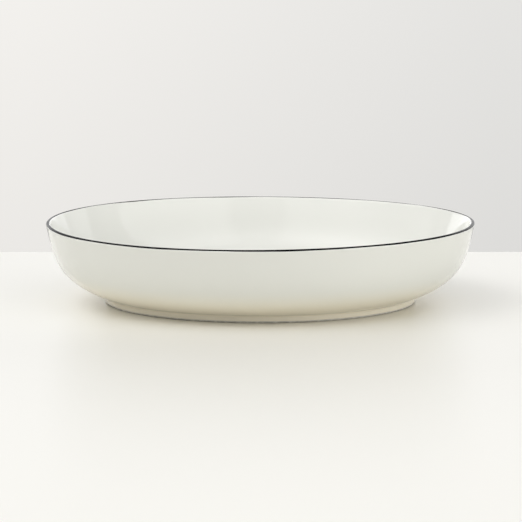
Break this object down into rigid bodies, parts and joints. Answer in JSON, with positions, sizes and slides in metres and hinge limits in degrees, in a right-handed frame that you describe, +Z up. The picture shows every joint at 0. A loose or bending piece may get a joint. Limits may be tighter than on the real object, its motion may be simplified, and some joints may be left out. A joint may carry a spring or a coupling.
{
  "type": "pasta bowl",
  "caption": "Low, wide round bowl of glazed white china with a curved wall, a thin black line round the lip and a low foot ring.",
  "frame": {"origin": "centre of the circle that the foot stands on, at the height of the table", "axes": "+Z up along the bowl's axis of turning; the bowl is the same all round, so +X and +Y are free, and -Y faces the viewer of the picture"},
  "size_m": [0.23, 0.23, 0.0433],
  "materials": {
    "bare_china": "fired matt china, fine and dense",
    "glaze": "glossy clear glaze over warm white china",
    "black_enamel": "glossy black enamel fired on the glaze"
  },
  "bodies": {
    "root": {"china_body": "bare_china", "foot_ring": "bare_china", "outer_glaze": "glaze", "inner_glaze": "glaze", "base_glaze": "glaze", "rim_line": "black_enamel"}
  },
  "joints": []
}
